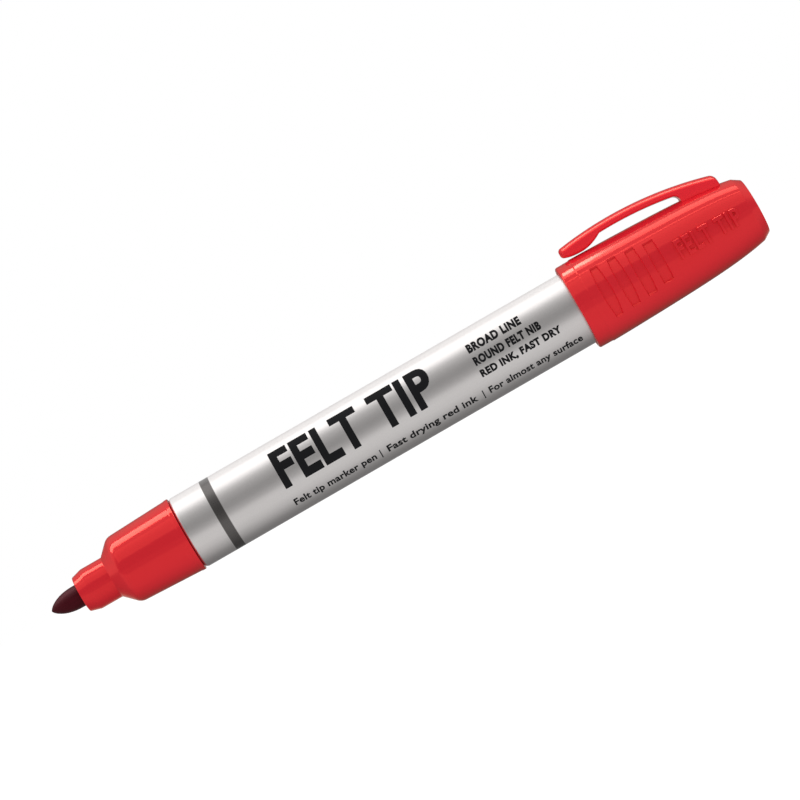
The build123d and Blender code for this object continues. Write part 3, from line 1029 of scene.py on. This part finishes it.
# the studio round the marker's axis: degrees up from the near side, and how bright it is there
STUDIO = [
    (-180, 0.25),
    (-2, 0.28),
    (25, 0.28),
    (31, 0.36),
    (42, 0.40),
    (50, 0.46),
    (58, 0.60),
    (66, 0.80),
    (73, 0.95),
    (112, 0.95),
    (126, 0.70),
    (140, 0.45),
    (152, 0.25),
    (180, 0.20),
]
world = bpy.data.worlds.new("studio")
bpy.context.scene.world = world
world.use_nodes = True
sky = Graph(world.node_tree)
direction_y, direction_z = sky.split(sky.add("ShaderNodeTexCoord", output=0))[1:]
around = direction_z.math("ARCTAN2", -direction_y) / (2 * pi) + 0.5
studio_stops = [(0.5 + angle / 360, light) for angle, light in STUDIO]
studio = sky.add("ShaderNodeValToRGB", {"stops": studio_stops}, [around])
rays = sky.node("ShaderNodeLightPath")
shown = sky.mix_colour(Wire(sky, rays.outputs["Is Camera Ray"]), studio, (1.0, 1.0, 1.0, 1.0))
lift = Wire(sky, rays.outputs["Is Diffuse Ray"]) * WORLD_LIFT + 1.0
background = world.node_tree.nodes["Background"]
world.node_tree.links.new(shown.socket, background.inputs["Color"])
world.node_tree.links.new(lift.socket, background.inputs["Strength"])

LIGHT_DISTANCE = 0.45


def strip_light(name, first, last, radiance, length=0.9, place=0.0, mirrored=True, receivers=()):
    """A soft box along the marker between two angles round it, seen either in reflections or as fill."""
    middle, half = radians((first + last) / 2), radians((last - first) / 2)
    data = bpy.data.lights.new(name, "AREA")
    data.shape = "RECTANGLE"
    data.size, data.size_y = length, 2 * LIGHT_DISTANCE * tan(half)
    data.energy = radiance * pi * data.size * data.size_y
    light = bpy.data.objects.new(name, data)
    bpy.context.scene.collection.objects.link(light)
    light.visible_diffuse = not mirrored
    light.visible_glossy = mirrored
    light.visible_camera = False
    away = Vector((0, -cos(middle), sin(middle)))
    along = Vector((1, 0, 0))
    axes = Matrix((along, away.cross(along), away)).transposed().to_4x4()
    light.matrix_world = Matrix.Translation(away * LIGHT_DISTANCE + along * place) @ axes
    if receivers:
        lit = bpy.data.collections.new(name + "_receivers")
        for receiver in receivers:
            lit.objects.link(receiver)
        light.light_linking.receiver_collection = lit


strip_light("nose_and_clip_strip", 82, 102, 6.5, receivers=[nose, clip, nib])
strip_light("cap_strip", 88, 106, 2.6, receivers=[cap, emblem])
strip_light("cap_lip_glint", 97, 109, 12.0, length=0.045, place=0.063, receivers=[cap])
strip_light("raised_word_strip", 94, 146, 6.0, receivers=[emblem])
strip_light("cap_line", 72, 75, 2.0, receivers=[cap, emblem])
strip_light("red_front_strip", 31, 68, 0.5, receivers=[nose, cap, clip, emblem])
strip_light("barrel_strip", 70, 116, 0.45, receivers=[barrel_skin])
strip_light("barrel_rim_strip", 126, 185, 0.55, receivers=[barrel_skin])
strip_light("clip_strip", 58, 110, 2.2, receivers=[clip])
strip_light("front_fill", -2, 30, 0.5, mirrored=False)
strip_light("clip_fill", -2, 30, 2.4, mirrored=False, receivers=[clip])
strip_light("back_fill", 150, 182, 0.8, mirrored=False)

VIEW_DISTANCE = 0.730
VIEW_SPAN = 0.1385
VIEW_FOOT = Vector((0.00455, 0.0, 0.0016))
ROLL = radians(30)
camera_data = bpy.data.cameras.new("camera")
camera_data.sensor_width = 36.0
camera_data.lens = camera_data.sensor_width * VIEW_DISTANCE / VIEW_SPAN
camera_data.clip_start, camera_data.clip_end = 0.01, 20.0
camera = bpy.data.objects.new("camera", camera_data)
bpy.context.scene.collection.objects.link(camera)
bpy.context.scene.camera = camera
right = Vector((cos(ROLL), 0, -sin(ROLL)))
up = Vector((sin(ROLL), 0, cos(ROLL)))
back = right.cross(up)
camera_axes = Matrix((right, up, back)).transposed().to_4x4()
camera.matrix_world = Matrix.Translation(VIEW_FOOT + back * VIEW_DISTANCE) @ camera_axes
bpy.context.scene.view_settings.view_transform = "Standard"
